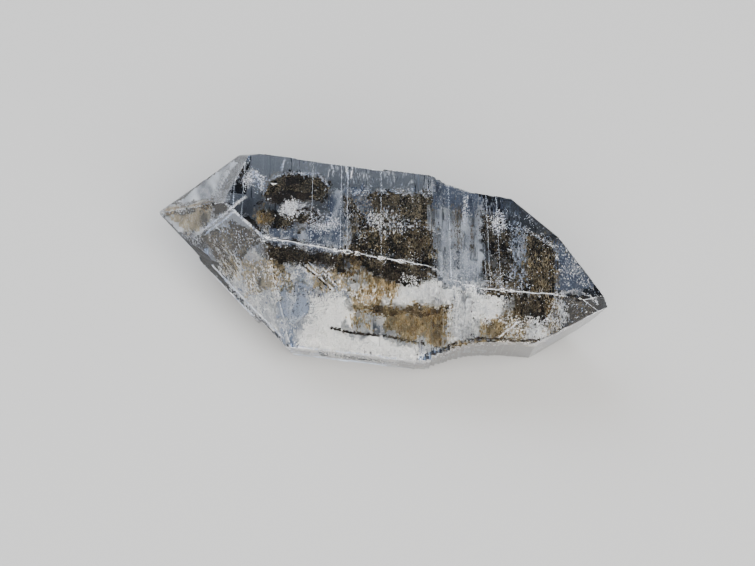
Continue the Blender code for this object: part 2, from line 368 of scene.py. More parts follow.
# %% [markdown]
# ## Clear quartz
# Real quartz is nearly water-clear and bends light by 1.544. In the photograph it lies on dark cloth and
# looks deep, and over a pale floor clear quartz would look almost empty. So it gets a smoky tint here,
# which takes red more than blue, through a Volume Absorption shader with a plain colour and density.
# The growth lines tilt the surface normal slightly, so that light breaks up along them.

# %% Make the quartz material
QUARTZ_TINT = (0.32, 0.38, 0.47, 1.0)
QUARTZ_DENSITY = 210.0
LINE_STRENGTH = 0.25
LINE_HEIGHT = 0.004 * MM
quartz, quartz_shader, quartz_output = new_material("grown_quartz")
quartz_shader.inputs["Base Color"].default_value = (1.0, 1.0, 1.0, 1.0)
quartz_shader.inputs["Roughness"].default_value = 0.0
quartz_shader.inputs["IOR"].default_value = QUARTZ_IOR
quartz_shader.inputs["Transmission Weight"].default_value = 1.0
quartz_depth = quartz.node_tree.nodes.new("ShaderNodeVolumeAbsorption")
quartz_depth.inputs["Color"].default_value = QUARTZ_TINT
quartz_depth.inputs["Density"].default_value = QUARTZ_DENSITY
quartz.node_tree.links.new(quartz_depth.outputs["Volume"], quartz_output.inputs["Volume"])
quartz_lines = place_group(quartz, growth_lines, {"Lines per metre": GROWTH_LINES})
quartz_bump = quartz.node_tree.nodes.new("ShaderNodeBump")
quartz_bump.inputs["Strength"].default_value = LINE_STRENGTH
quartz_bump.inputs["Distance"].default_value = LINE_HEIGHT
quartz.node_tree.links.new(quartz_lines.outputs["Height"], quartz_bump.inputs["Height"])
quartz.node_tree.links.new(quartz_bump.outputs["Normal"], quartz_shader.inputs["Normal"])
crystal = link_piece("quartz_shell", crystal_mesh, quartz)
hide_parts(NODE)
print(crystal.name, "takes the place of", NODE)

# %% [markdown]
# ## Copying one small shape many times
# The flecks inside are far too many to model by hand. One small closed shape is made with mesh
# operators, and geometry nodes put a copy of it on every vertex of a cloud, turned and stretched by the
# values that each vertex carries. The copies are then made real and become one mesh. Joining thousands
# of separate objects would do the same, but much more slowly.

# %% Build the copying node group


def copying_group():
    """Geometry nodes that put a shape on each vertex and make the copies real."""
    group = bpy.data.node_groups.new("copy_on_vertices", "GeometryNodeTree")
    group.interface.new_socket("Cloud", in_out="INPUT", socket_type="NodeSocketGeometry")
    group.interface.new_socket("Shape", in_out="INPUT", socket_type="NodeSocketObject")
    group.interface.new_socket("Copies", in_out="OUTPUT", socket_type="NodeSocketGeometry")
    nodes, links = group.nodes, group.links
    given = nodes.new("NodeGroupInput")
    result = nodes.new("NodeGroupOutput")
    shape = nodes.new("GeometryNodeObjectInfo")
    place = nodes.new("GeometryNodeInstanceOnPoints")
    real = nodes.new("GeometryNodeRealizeInstances")
    turned = nodes.new("FunctionNodeEulerToRotation")
    reads = {}
    for value in ("turn", "size"):
        read = nodes.new("GeometryNodeInputNamedAttribute")
        read.data_type = "FLOAT_VECTOR"
        read.inputs["Name"].default_value = value
        reads[value] = read.outputs["Attribute"]
    links.new(given.outputs["Cloud"], place.inputs["Points"])
    links.new(given.outputs["Shape"], shape.inputs["Object"])
    links.new(shape.outputs["Geometry"], place.inputs["Instance"])
    links.new(reads["turn"], turned.inputs["Euler"])
    links.new(turned.outputs["Rotation"], place.inputs["Rotation"])
    links.new(reads["size"], place.inputs["Scale"])
    links.new(place.outputs["Instances"], real.inputs["Geometry"])
    links.new(real.outputs["Geometry"], result.inputs["Copies"])
    return group


copy_nodes = copying_group()
shape_socket = copy_nodes.interface.items_tree["Shape"].identifier
Fleck = namedtuple("Fleck", "point turn size tone")


def small_shape(name, make, smooth):
    """An object, not in the scene, that holds one small closed shape for the copies."""
    bm = bmesh.new()
    make(bm)
    bmesh.ops.recalc_face_normals(bm, faces=bm.faces)
    for face in bm.faces:
        face.smooth = smooth
    mesh = bpy.data.meshes.new(name)
    bm.to_mesh(mesh)
    bm.free()
    print(name, "has", len(mesh.polygons), "faces")
    return bpy.data.objects.new(name, mesh)


def joined_copies(name, shape, flecks, material):
    """Makes one piece with a copy of the shape at each fleck."""
    cloud = bmesh.new()
    turn = cloud.verts.layers.float_vector.new("turn")
    size = cloud.verts.layers.float_vector.new("size")
    tone = cloud.verts.layers.float.new("tone")
    for fleck in flecks:
        vertex = cloud.verts.new(fleck.point)
        vertex[turn] = fleck.turn
        vertex[size] = fleck.size
        vertex[tone] = fleck.tone
    cloud_mesh = bpy.data.meshes.new(name + "_cloud")
    cloud.to_mesh(cloud_mesh)
    cloud.free()
    holder = bpy.data.objects.new(name + "_cloud", cloud_mesh)
    scene_objects = bpy.context.scene.collection.objects
    scene_objects.link(holder)
    scene_objects.link(shape)
    modifier = holder.modifiers.new("copies", "NODES")
    modifier.node_group = copy_nodes
    modifier[shape_socket] = shape
    graph = bpy.context.evaluated_depsgraph_get()
    mesh = bpy.data.meshes.new_from_object(holder.evaluated_get(graph))
    mesh.name = name
    bpy.data.objects.remove(holder)
    scene_objects.unlink(shape)
    mesh.calc_loop_triangles()
    print(name, "has", len(flecks), "copies and", len(mesh.loop_triangles), "triangles")
    link_piece(name, mesh, material)


flake = small_shape("flake", lambda bm: bmesh.ops.create_cone(
    bm, cap_ends=True, segments=4, radius1=1, radius2=0, depth=1), False)
drop = small_shape("drop", lambda bm: bmesh.ops.create_icosphere(bm, subdivisions=2, radius=1), True)

# %% [markdown]
# ## Where the flecks lie
# Each kind of inclusion sits in zones. A zone is an outline drawn in pixels of the photograph with a
# depth range behind it in millimetres, so it is a block of crystal as seen from the camera. Its cover
# is the number of flecks for each hundred square pixels, its stretch is how much longer than wide they
# may be, its slant is where their long sides point in degrees from upright, and its tones run from 0,
# the dark colour of their material, to 1, the light one. Noise frays the outline and leaves gaps in it,
# because nothing in a crystal ends in a straight line.

# %% Draw in pixels
dice = random.Random(11)
FRAY = 6.0
FRAY_PATCH = 11.0
FRAYED_WHOLLY = 16.0
NOISE_STRETCH = 1.8
LAYERS = {"across": 0, "down": 50, "gap": 100, "wave": 150, "tone": 200, "wisp": 250, "tear": 300}
Zone = namedtuple("Zone", "outline depths cover stretch slant tones")


def soft_noise(across, down, patch, seed, layer):
    """Smooth noise between -1 and 1 over the pixels, in patches of this size, taller than wide."""
    return noise.noise(Vector((across / patch, down / patch / NOISE_STRETCH, seed + LAYERS[layer])))


def in_outline(across, down, outline):
    """Whether a pixel lies in a closed outline of pixels."""
    found = False
    for (x1, y1), (x2, y2) in zip(outline, outline[1:] + outline[:1]):
        if (y1 > down) != (y2 > down) and across < x1 + (down - y1) / (y2 - y1) * (x2 - x1):
            found = not found
    return found


def outline_area(outline):
    """The area of an outline in square pixels."""
    corners = zip(outline, outline[1:] + outline[:1])
    return abs(sum(x1 * y2 - x2 * y1 for (x1, y1), (x2, y2) in corners)) / 2


def outline_reach(outline):
    """How far an outline reaches in pixels, with room to fray: left, right, top and bottom."""
    across = [x for x, _ in outline]
    down = [y for _, y in outline]
    return min(across) - FRAY, max(across) + FRAY, min(down) - FRAY, max(down) + FRAY


def block(left, top, right, bottom):
    """The four corners of an upright rectangle of pixels."""
    return [(left, top), (right, top), (right, bottom), (left, bottom)]


def calm(outline):
    """How much of the full fray an outline takes: a narrow one takes less, or it would fall apart."""
    rim = sum(math.dist(start, end) for start, end in zip(outline, outline[1:] + outline[:1]))
    breadth = 2 * outline_area(outline) / rim
    return min(breadth / FRAYED_WHOLLY, 1)


print("a band of 8 by 80 pixels takes", round(calm(block(0, 0, 8, 80)), 2), "of the full fray")

# %% [markdown]
# A fleck needs a point, a direction, a size and a tone. Its flat side faces the bent ray, so that it
# shows to the camera, and then chance leans it two ways, so that it catches light from elsewhere too.
# A long fleck near the surface would poke out, so its length is held to its depth.

# %% Place one fleck
LOWEST = 0.12 * MM
LONGEST_FOR_DEPTH = 1.5
CLOUD_PULL = 0.8


def set_fleck(across, down, slant, depth, size, tilt, tone):
    """A fleck seen at a pixel, its long side at a slant from upright, tilted by chance."""
    found = enter(camera.location, pixel_ray(across, down), depth)
    if found is None:
        return None
    point, inward = found
    if point.z < LOWEST:
        return None
    slant = math.radians(slant)
    upright = camera_up * math.cos(slant) + camera_right * math.sin(slant)
    upright = (upright - inward * upright.dot(inward)).normalized()
    size.y = min(size.y, depth * LONGEST_FOR_DEPTH)
    sideways = upright.cross(inward)
    facing = Matrix((sideways, upright, inward)).transposed()
    leaned = Matrix.Rotation(dice.gauss(0, tilt), 3, sideways)
    rolled = Matrix.Rotation(dice.gauss(0, tilt), 3, upright)
    return Fleck(point, (leaned @ rolled @ facing).to_euler(), size, tone)


def fleck_size(widths, stretch, thickness):
    """Half width, half length and thickness of one fleck."""
    width = dice.uniform(*widths) * MM
    return Vector((width, width * dice.uniform(1, stretch), width * thickness))


def toned(tones, cloud):
    """A tone between the two, which follows the cloud and differs from fleck to fleck."""
    low, high = tones
    return low + (high - low) * min(max(dice.random() + cloud * CLOUD_PULL, 0), 1)


print("a fleck 0.2 mm deep is at most", round(2 * 0.2 * LONGEST_FOR_DEPTH, 2), "mm long")

# %% [markdown]
# A zone is filled by chance: a pixel is drawn anywhere near it, and a fleck is kept there if the frayed
# outline holds it and the cloud has no gap. The draws stop when the zone has its share of flecks.

# %% Fill zones
SOFT_EDGE = 2.2
GAP_PATCH = 9.0
GAPS = (-0.7, 0.1)
SLANT_SPREAD = 6.0
ZONE_TILT = math.radians(35)
TRIES = 15


def scatter(zones, widths, thickness=0.5):
    """Flecks that fill the zones, with half widths in mm between the two."""
    flecks = []
    for seed, zone in enumerate(zones):
        left, right, top, bottom = outline_reach(zone.outline)
        fray = FRAY * calm(zone.outline)
        wanted = round(outline_area(zone.outline) * zone.cover / 100)
        kept = []
        for _ in range(wanted * TRIES):
            if len(kept) == wanted:
                break
            across = dice.uniform(left, right)
            down = dice.uniform(top, bottom)
            bay = fray * soft_noise(across, down, FRAY_PATCH, seed, "across") + dice.gauss(0, SOFT_EDGE)
            cape = fray * soft_noise(across, down, FRAY_PATCH, seed, "down") + dice.gauss(0, SOFT_EDGE)
            cloud = soft_noise(across, down, GAP_PATCH, seed, "gap")
            if cloud < dice.uniform(*GAPS) or not in_outline(across + bay, down + cape, zone.outline):
                continue
            fleck = set_fleck(
                across, down, dice.gauss(zone.slant, SLANT_SPREAD), dice.uniform(*zone.depths) * MM,
                fleck_size(widths, zone.stretch, thickness), ZONE_TILT, toned(zone.tones, cloud))
            if fleck:
                kept.append(fleck)
        flecks += kept
    return flecks


# %% [markdown]
# Some inclusions follow a line: a thread of bitumen, the rungs at the left end, the frost inside an
# edge. A streak is a path of pixels, its spread is how far the flecks stray from it, in pixels, and its
# cover is the number of flecks for each pixel of length.

# %% Follow streaks
STREAK_PATCH = 6.0
STREAK_TILT = math.radians(20)
Streak = namedtuple("Streak", "path spread depths cover stretch tones")


def along(streaks, widths, thickness=0.5):
    """Flecks along the streaks, their long sides in line with them."""
    flecks = []
    for seed, streak in enumerate(streaks):
        for start, end in zip(streak.path, streak.path[1:]):
            slant = math.degrees(math.atan2(end[0] - start[0], start[1] - end[1]))
            for _ in range(round(streak.cover * math.dist(start, end))):
                share = dice.random()
                across = start[0] + (end[0] - start[0]) * share + dice.gauss(0, streak.spread)
                down = start[1] + (end[1] - start[1]) * share + dice.gauss(0, streak.spread)
                cloud = soft_noise(across, down, STREAK_PATCH, seed, "gap")
                if cloud < dice.uniform(*GAPS):
                    continue
                fleck = set_fleck(
                    across, down, dice.gauss(slant, SLANT_SPREAD), dice.uniform(*streak.depths) * MM,
                    fleck_size(widths, streak.stretch, thickness), STREAK_TILT,
                    toned(streak.tones, cloud))
                if fleck:
                    flecks.append(fleck)
    return flecks


# %% [markdown]
# ## Thin sheets
# Behind the flecks lie continuous films, thinner than paper, in cracks that have healed. They could be
# modelled by hand, but a grid does it with less: it is laid over the picture, the faces outside a
# frayed outline are deleted, each vertex is sent into the crystal along its own ray, and an extrusion
# gives the sheet its thickness. Corners that hang together by one vertex are deleted first, because
# they would leave the extruded sheet open. Each sheet has an outline in pixels, a depth and a waviness
# in millimetres, and a tone with the most that it changes from place to place.

# %% Lay thin sheets inside
SHEET_STEP = 1.6
SHEET_WAVE = 22.0
TONE_PATCH = 11.0
WISP_PATCH = 4.5
WISP_SHARE = 0.5
SHEET_FRAY = 11.0
SHEET_PATCH = 22.0
RAG = 5.0
RAG_PATCH = 4.0
SHEET_THICKNESS = 0.03 * MM
LONGEST_STEP = 0.7 * MM
Sheet = namedtuple("Sheet", "outline depth waviness tone change")


def frayed_grid(outline, seed):
    """A grid over the picture, one unit for each pixel, with the faces outside the outline deleted."""
    left, right, top, bottom = outline_reach(outline)
    share = calm(outline)
    bm = bmesh.new()
    bmesh.ops.create_grid(
        bm, x_segments=round((right - left) / SHEET_STEP),
        y_segments=round((bottom - top) / SHEET_STEP), size=0.5)
    bmesh.ops.translate(bm, verts=bm.verts, vec=(0.5, -0.5, 0))
    bmesh.ops.scale(bm, verts=bm.verts, vec=(right - left, top - bottom, 1))
    bmesh.ops.translate(bm, verts=bm.verts, vec=(left, top, 0))
    outer = []
    for face in bm.faces:
        across, down, _ = face.calc_center_median()
        bay = SHEET_FRAY * soft_noise(across, down, SHEET_PATCH, seed, "across")
        cape = SHEET_FRAY * soft_noise(across, down, SHEET_PATCH, seed, "down")
        tear = RAG * soft_noise(across, down, RAG_PATCH, seed, "tear")
        if not in_outline(across + (bay + tear) * share, down + (cape - tear) * share, outline):
            outer.append(face)
    bmesh.ops.delete(bm, geom=outer, context="FACES")
    return bm


def trim_corners(bm):
    """Deletes vertices where a sheet hangs together by a corner, and those with no face."""
    pinched = True
    while pinched:
        pinched = [v for v in bm.verts if sum(edge.is_boundary for edge in v.link_edges) > 2]
        bmesh.ops.delete(bm, geom=pinched, context="VERTS")
    bmesh.ops.delete(bm, geom=[edge for edge in bm.edges if edge.is_wire], context="EDGES")
    bmesh.ops.delete(bm, geom=[v for v in bm.verts if not v.link_faces], context="VERTS")


def sink_sheet(bm, sheet, seed):
    """Sends each vertex of a grid into the crystal and gives it a tone."""
    tone = bm.verts.layers.float.new("tone")
    lost = []
    for vertex in bm.verts:
        across, down, _ = vertex.co
        wave = sheet.waviness * soft_noise(across, down, SHEET_WAVE, seed, "wave")
        found = enter(camera.location, pixel_ray(across, down), (sheet.depth + wave) * MM)
        if found is None:
            lost.append(vertex)
            continue
        vertex.co = found[0]
        cloud = soft_noise(across, down, TONE_PATCH, seed, "tone")
        wisp = soft_noise(across, down, WISP_PATCH, seed, "wisp")
        vertex[tone] = sheet.tone + sheet.change * (cloud + WISP_SHARE * wisp)
    bmesh.ops.delete(bm, geom=lost, context="VERTS")
    torn = [edge for edge in bm.edges if edge.calc_length() > LONGEST_STEP]
    bmesh.ops.delete(bm, geom=torn, context="EDGES_FACES")


def lay_sheets(name, sheets, material):
    """Makes one piece of thin closed sheets, each in its outline of pixels and at its depth in mm."""
    joined = bmesh.new()
    joined.verts.layers.float.new("tone")
    for seed, sheet in enumerate(sheets):
        bm = frayed_grid(sheet.outline, seed)
        sink_sheet(bm, sheet, seed)
        trim_corners(bm)
        grown = bmesh.ops.extrude_face_region(bm, geom=bm.faces, use_keep_orig=True)
        lifted = [part for part in grown["geom"] if isinstance(part, bmesh.types.BMVert)]
        bmesh.ops.translate(bm, verts=lifted, vec=back * SHEET_THICKNESS)
        bmesh.ops.recalc_face_normals(bm, faces=bm.faces)
        part_mesh = bpy.data.meshes.new(name + "_part")
        bm.to_mesh(part_mesh)
        bm.free()
        joined.from_mesh(part_mesh)
        bpy.data.meshes.remove(part_mesh)
    for face in joined.faces:
        face.smooth = True
    gaps = sum(not edge.is_manifold for edge in joined.edges)
    mesh = bpy.data.meshes.new(name)
    joined.to_mesh(mesh)
    joined.free()
    print(name, "has", len(sheets), "sheets,", len(mesh.polygons), "faces and", gaps, "open edges")
    link_piece(name, mesh, material)


# %% [markdown]
# ## Milky veils
# A crack that healed while the crystal grew leaves a sheet of tiny gas and liquid pockets, which looks
# like milk or frost. The front face is full of it. Each pocket is a thin flake, white to grey-blue.

# %% List the milk behind the front face
FRONT_MILK = [
    Zone([(212, 240), (262, 254), (345, 268), (434, 282), (478, 294), (556, 303), (578, 306), (570, 322),
          (540, 338), (478, 337), (430, 352), (395, 360), (300, 349), (264, 325), (228, 288)],
         (0.9, 3.0), 55, 2.5, 4, (0.3, 0.9)),
    Zone([(240, 258), (262, 263), (300, 266), (345, 276), (350, 300), (330, 296), (285, 290), (262, 318),
          (240, 290)], (0.12, 1.2), 90, 2.5, 4, (-0.2, 1.1)),
    Zone([(312, 300), (330, 296), (345, 298), (350, 312), (338, 318), (334, 326), (345, 340), (320, 348),
          (300, 345), (306, 325)], (0.15, 0.8), 170, 2, 4, (0.9, 1.0)),
    Zone([(300, 336), (330, 338), (378, 343), (425, 351), (420, 357), (398, 361), (345, 356), (300, 351)],
         (0.15, 0.8), 150, 2, 4, (0.85, 1.0)),
    Zone([(350, 285), (372, 287), (440, 284), (449, 300), (449, 308), (415, 306), (385, 304), (352, 306)],
         (0.2, 1.6), 120, 2.5, 4, (0.55, 1.0)),
    Zone([(206, 240), (228, 244), (256, 285), (280, 325), (272, 332), (232, 288)],
         (0.2, 1.2), 70, 5, -38, (0.3, 1.0)),
    Zone([(449, 286), (468, 288), (480, 296), (476, 318), (470, 338), (449, 346)],
         (0.15, 1.4), 110, 3, 2, (0.5, 0.9)),
    Zone([(473, 299), (486, 294), (503, 300), (498, 313), (489, 324), (476, 318)],
         (0.15, 0.8), 120, 2, 10, (0.6, 1.0)),
    Zone([(500, 318), (546, 318), (546, 338), (510, 339)], (0.2, 1.2), 90, 2, 10, (0.6, 1.0)),
    Zone([(548, 299), (562, 300), (568, 320), (550, 334)], (0.2, 1.2), 80, 3, 4, (0.2, 0.6)),
    Zone([(559, 240), (578, 256), (592, 276), (597, 291), (575, 286), (561, 293)],
         (0.12, 0.6), 40, 2, 20, (-0.5, 0.9)),
    Zone([(512, 222), (524, 228), (527, 292), (511, 276)], (0.15, 0.8), 30, 4, 2, (-0.6, 0.2)),
    Zone([(364, 214), (384, 208), (402, 210), (404, 226), (386, 236), (366, 230)],
         (0.12, 0.8), 40, 3, 10, (0.0, 0.8)),
]
MILK_SHEETS = [
    Sheet([(226, 246), (262, 258), (345, 272), (434, 284), (478, 296), (540, 300), (540, 334),
           (478, 334), (430, 348), (395, 357), (300, 345), (264, 320), (236, 288)], 2.0, 0.7, 0.55, 0.9),
    Sheet([(338, 294), (352, 298), (354, 316), (345, 335), (420, 346), (415, 354), (395, 358), (296, 347),
           (312, 322), (322, 306)], 0.8, 0.2, 1.0, 0.5),
    Sheet([(350, 284), (440, 284), (449, 305), (385, 303), (352, 304)], 1.0, 0.3, 0.85, 0.7),
    Sheet([(474, 300), (486, 295), (501, 300), (497, 312), (489, 322), (477, 318)], 0.7, 0.2, 0.85, 0.8),
    Sheet([(284, 284), (313, 285), (312, 308), (298, 322), (279, 316)], 0.7, 0.2, 0.05, 0.6),
]
print("milk:", len(FRONT_MILK), "zones and", len(MILK_SHEETS), "sheets")
milk_material = fleck_material(
    "healed_crack_milk", (0.22, 0.26, 0.34), (1.0, 0.99, 0.96),
    patches=1600.0, patchiness=0.9, roughness=0.6, ior=1.3, clearness=0.0)

# %% Place the milk
MILK_FLAKES = (0.02, 0.045)
lay_sheets("milk_sheets", MILK_SHEETS, milk_material)
joined_copies("milky_veil", flake, scatter(FRONT_MILK, MILK_FLAKES), milk_material)

# %% [markdown]
# ## Blue veils, partly painted sheen and shade
# Fine veils lie in the waist, the right face, the band behind the top and the left end. The veils are
# real, but their pale blue is partly painted highlight of the cool light from behind, and their darkest
# flakes in the band behind the top are painted shade. The flakes here are thin and long, in line with
# the growth lines, over sheets of the same material.

# %% List the blue veils behind the top faces and in the waist
BLUE_VEIL = [
    # Painted highlight and shade: the pale blue of these veils is partly cool light painted into their
    # colour.
    Zone([(432, 177), (458, 183), (482, 200), (482, 240), (478, 288), (449, 286), (434, 264)],
         (0.12, 1.2), 80, 4, 0, (0.15, 0.6)),
    # Painted shade: near-black flakes at the top of the waist, in the band behind the top.
    Zone([(433, 178), (458, 184), (481, 200), (479, 216), (436, 206)],
         (0.12, 0.4), 80, 4, 0, (-0.8, 0.1)),
    Zone([(436, 250), (470, 250), (480, 290), (449, 286), (436, 268)],
         (0.12, 0.8), 70, 3, 0, (0.5, 0.8)),
    Zone([(325, 190), (372, 188), (372, 230), (352, 250), (330, 248)],
         (0.25, 2.0), 75, 5, 2, (0.0, 0.65)),
    Zone([(262, 226), (345, 226), (345, 252), (262, 241)],
         (0.2, 1.4), 75, 4, 4, (-0.1, 0.7)),
    Zone([(179, 228), (203, 228), (204, 247), (195, 245)],
         (0.15, 0.7), 150, 2, -20, (0.7, 1.0)),
    Zone([(166, 211), (206, 207), (204, 228), (188, 240), (176, 224)],
         (0.12, 0.9), 75, 2, -20, (0.3, 1.0)),
    Zone([(170, 203), (205, 172), (236, 160), (252, 160), (226, 200), (212, 205)],
         (0.12, 0.7), 80, 2, 50, (0.3, 0.8)),
    Zone([(557, 237), (592, 275), (597, 290), (560, 294)],
         (0.12, 0.8), 80, 2, 4, (-0.5, 0.35)),
    Zone([(511, 232), (525, 230), (525, 292), (511, 272)],
         (0.2, 1.4), 90, 4, 2, (0.1, 0.5)),
    Zone([(285, 157), (432, 176), (432, 190), (340, 182), (285, 168)],
         (0.12, 0.5), 14, 14, 0, (0.1, 0.6)),
    # Painted shade: dark flakes in the band behind the top.
    Zone([(485, 195), (520, 208), (520, 222), (486, 214)],
         (0.12, 0.5), 25, 14, 0, (-0.3, 0.3)),
    Zone([(282, 284), (312, 284), (314, 300), (300, 322), (280, 318)],
         (0.12, 0.5), 80, 3, 4, (0.0, 0.4)),
]
BLUE_SHEETS = [
    Sheet([(433, 179), (458, 185), (481, 201), (481, 240), (476, 286), (449, 284), (435, 264)],
          0.9, 0.2, 0.4, 0.3),
    # Painted shade: a dark sheet at the top of the waist, in the band behind the top.
    Sheet([(433, 179), (458, 185), (481, 201), (478, 216), (436, 206)], 0.5, 0.1, -0.1, 0.3),
    Sheet([(328, 192), (370, 190), (370, 228), (352, 248), (332, 246)], 1.3, 0.3, 0.1, 0.6),
    Sheet([(268, 228), (343, 228), (343, 249), (268, 239)], 1.0, 0.2, 0.05, 0.6),
    Sheet([(558, 240), (590, 275), (594, 288), (561, 292)], 0.6, 0.1, -0.25, 0.7),
    Sheet([(178, 201), (206, 177), (232, 165), (238, 166), (212, 198)], 0.5, 0.1, 0.4, 0.8),
    Sheet([(163, 211), (207, 207), (205, 230), (190, 242), (174, 224)], 1.0, 0.2, 0.5, 1.0),
]
print("blue:", len(BLUE_VEIL), "zones and", len(BLUE_SHEETS), "sheets")
# Painted sheen and shade: the light colour is partly a painted cool highlight, the dark one partly painted
# shade.
veil_sheen_shade_material = fleck_material(
    "veil_with_painted_sheen_and_shade", (0.05, 0.065, 0.10), (0.72, 0.76, 0.82),
    patches=1500.0, patchiness=0.8, roughness=0.5, ior=1.3, clearness=0.0)

# %% Place the blue veils
BLUE_FLAKES = (0.010, 0.024)
BLUE_THICKNESS = 0.8
lay_sheets("blue_sheets", BLUE_SHEETS, veil_sheen_shade_material)
joined_copies("blue_veil", flake, scatter(BLUE_VEIL, BLUE_FLAKES, BLUE_THICKNESS), veil_sheen_shade_material)

# %% [markdown]
# ## Glints, painted highlights
# Small cracks inside mirror the light. Here that mirroring is painted highlight: the glints are the
# same flakes again, with a brighter material and a smoother surface, coloured white to steel blue.
# They stand in clusters, in fine lines where two growth layers meet, such as the rungs at the left end,
# and in painted rim highlights along the lower edges of the outline.

# %% List the glints
# Painted highlight: clusters of white to steel-blue flakes where the light glints.
PAINTED_GLINTS = [
    Zone([(212, 240), (228, 222), (262, 240), (250, 262), (226, 262)],
         (0.12, 0.4), 34, 3, -30, (0.0, 0.9)),
    Zone([(166, 209), (190, 206), (184, 222), (174, 222)], (0.12, 0.4), 22, 2, 0, (0.6, 1.0)),
    Zone([(564, 299), (596, 310), (572, 322)], (0.12, 0.4), 20, 3, 30, (0.1, 0.9)),
    Zone([(283, 203), (292, 200), (306, 205), (300, 213), (290, 217), (279, 213)],
         (0.2, 0.4), 260, 2, 20, (0.7, 1.0)),
    Zone([(306, 214), (318, 212), (338, 220), (336, 230), (322, 232), (308, 226)],
         (0.25, 0.9), 150, 2, 10, (0.4, 1.0)),
    Zone([(489, 217), (499, 212), (510, 222), (508, 231), (494, 233)],
         (0.2, 0.6), 110, 3, 30, (0.3, 1.0)),
    Zone([(240, 172), (255, 170), (262, 176), (262, 190), (257, 190), (254, 180), (246, 186), (241, 183)],
         (0.2, 0.5), 170, 3, 30, (0.2, 1.0)),
    Zone([(352, 188), (372, 187), (428, 189), (431, 194), (372, 193), (352, 195)],
         (0.15, 0.4), 60, 2, 80, (0.2, 0.8)),
    Zone([(402, 221), (425, 221), (425, 228), (403, 228)], (0.2, 0.6), 60, 2, 10, (0.3, 0.9)),
    Zone(block(262, 190, 436, 264), (0.2, 2.0), 7, 1.5, 10, (0.3, 1.0)),
    Zone(block(480, 215, 556, 292), (0.2, 2.0), 9, 1.5, 10, (0.3, 1.0)),
    Zone([(484, 270), (524, 274), (524, 290), (485, 286)], (0.15, 0.8), 30, 1.5, 10, (0.3, 1.0)),
    Zone([(399, 275), (422, 277), (422, 283), (400, 283)], (0.1, 0.3), 60, 1.5, 10, (0.8, 1.0)),
    Zone([(510, 316), (546, 318), (546, 338), (512, 338)], (0.12, 0.5), 40, 1.5, 10, (0.6, 1.0)),
]
# Painted highlight: bright lines of flakes, the rungs at the left end among them.
PAINTED_GLINT_STREAKS = [
    Streak([(233, 165), (222, 183), (211, 203)], 2.0, (0.12, 0.3), 7, 3, (0.0, 1.0)),
    Streak([(231, 208), (217, 219), (203, 230)], 0.9, (0.12, 0.25), 16, 3, (0.2, 0.9)),
    Streak([(234, 212), (220, 223), (205, 234)], 0.6, (0.12, 0.25), 12, 3, (0.1, 0.8)),
    Streak([(219, 213), (225, 221)], 0.5, (0.12, 0.25), 5, 3, (0.2, 0.9)),
    Streak([(211, 220), (217, 228)], 0.5, (0.12, 0.25), 5, 3, (0.2, 0.9)),
    Streak([(231, 208), (246, 196)], 0.9, (0.12, 0.25), 8, 3, (0.4, 1.0)),
    Streak([(224, 203), (244, 220), (263, 237)], 0.7, (0.1, 0.15), 4, 3, (0.2, 0.9)),
    Streak([(256, 175), (262, 182), (261, 191)], 0.5, (0.12, 0.25), 9, 2, (0.6, 1.0)),
    Streak([(264, 193), (268, 180), (285, 173), (318, 174), (329, 187)],
           0.9, (0.12, 0.3), 5, 2, (0.1, 0.8)),
    Streak([(524, 227), (533, 234), (545, 241), (556, 248)], 0.9, (0.1, 0.2), 5, 2, (0.4, 1.0)),
    Streak([(330, 160), (334, 172)], 0.6, (0.1, 0.3), 4, 4, (0.1, 0.8)),
    Streak([(345, 161), (347, 170), (348, 179)], 0.5, (0.1, 0.3), 8, 4, (0.3, 1.0)),
    Streak([(353, 163), (351, 178)], 0.4, (0.1, 0.3), 6, 4, (0.3, 1.0)),
    Streak([(285, 158), (281, 172)], 0.5, (0.1, 0.3), 4, 4, (0.0, 0.6)),
    Streak([(466, 192), (465, 225)], 1.6, (0.1, 0.5), 6, 6, (0.3, 1.0)),
    Streak([(303, 263), (318, 275), (334, 290)], 0.4, (0.1, 0.2), 3, 4, (0.4, 0.9)),
    Streak([(308, 262), (323, 273), (338, 287)], 0.4, (0.1, 0.2), 2, 4, (0.3, 0.9)),
    Streak([(299, 266), (310, 276)], 0.4, (0.1, 0.2), 2, 4, (0.3, 0.9)),
    # Painted rim highlight: these three streaks lay bright lines along the lower-left and lower edges of
    # the outline.
    Streak([(196, 258), (235, 298), (275, 337)], 0.5, (0.1, 0.15), 15, 3, (0.2, 1.0)),
    Streak([(212, 265), (246, 301), (282, 337)], 0.4, (0.1, 0.15), 14, 3, (0.2, 1.0)),
    Streak([(298, 347), (360, 355), (420, 363)], 0.6, (0.1, 0.2), 14, 3, (0.2, 1.0)),
    Streak([(498, 338), (517, 323)], 0.4, (0.1, 0.2), 6, 3, (0.6, 1.0)),
    Streak([(560, 294), (575, 290), (590, 296), (598, 304)], 0.8, (0.1, 0.3), 5, 2, (0.3, 1.0)),
]
print("glints:", len(PAINTED_GLINTS), "zones and", len(PAINTED_GLINT_STREAKS), "streaks")
# Painted highlight: the light colour is a white glint, the dark one a steel-blue reflection.
painted_glint_material = fleck_material(
    "painted_glint", (0.22, 0.33, 0.58), (1.0, 1.0, 1.0),
    patches=1500.0, patchiness=0.5, roughness=0.25, ior=1.3, clearness=0.0)

# %% Place the glints
CLUSTER_FLAKES = (0.010, 0.032)
LINE_FLAKES = (0.010, 0.020)
painted_glint_flecks = scatter(PAINTED_GLINTS, CLUSTER_FLAKES) + along(PAINTED_GLINT_STREAKS, LINE_FLAKES)
joined_copies("bright_glints", flake, painted_glint_flecks, painted_glint_material)

# %% [markdown]
# ## Gas pockets
# Gas shut in with the oil forms tiny bubbles. Light that meets one from inside the quartz is thrown
# back almost whole, so a bubble looks like a bead of mercury. A round drop with a plain metallic value
# shows that, where a drop of air would cost many more bounces of light.

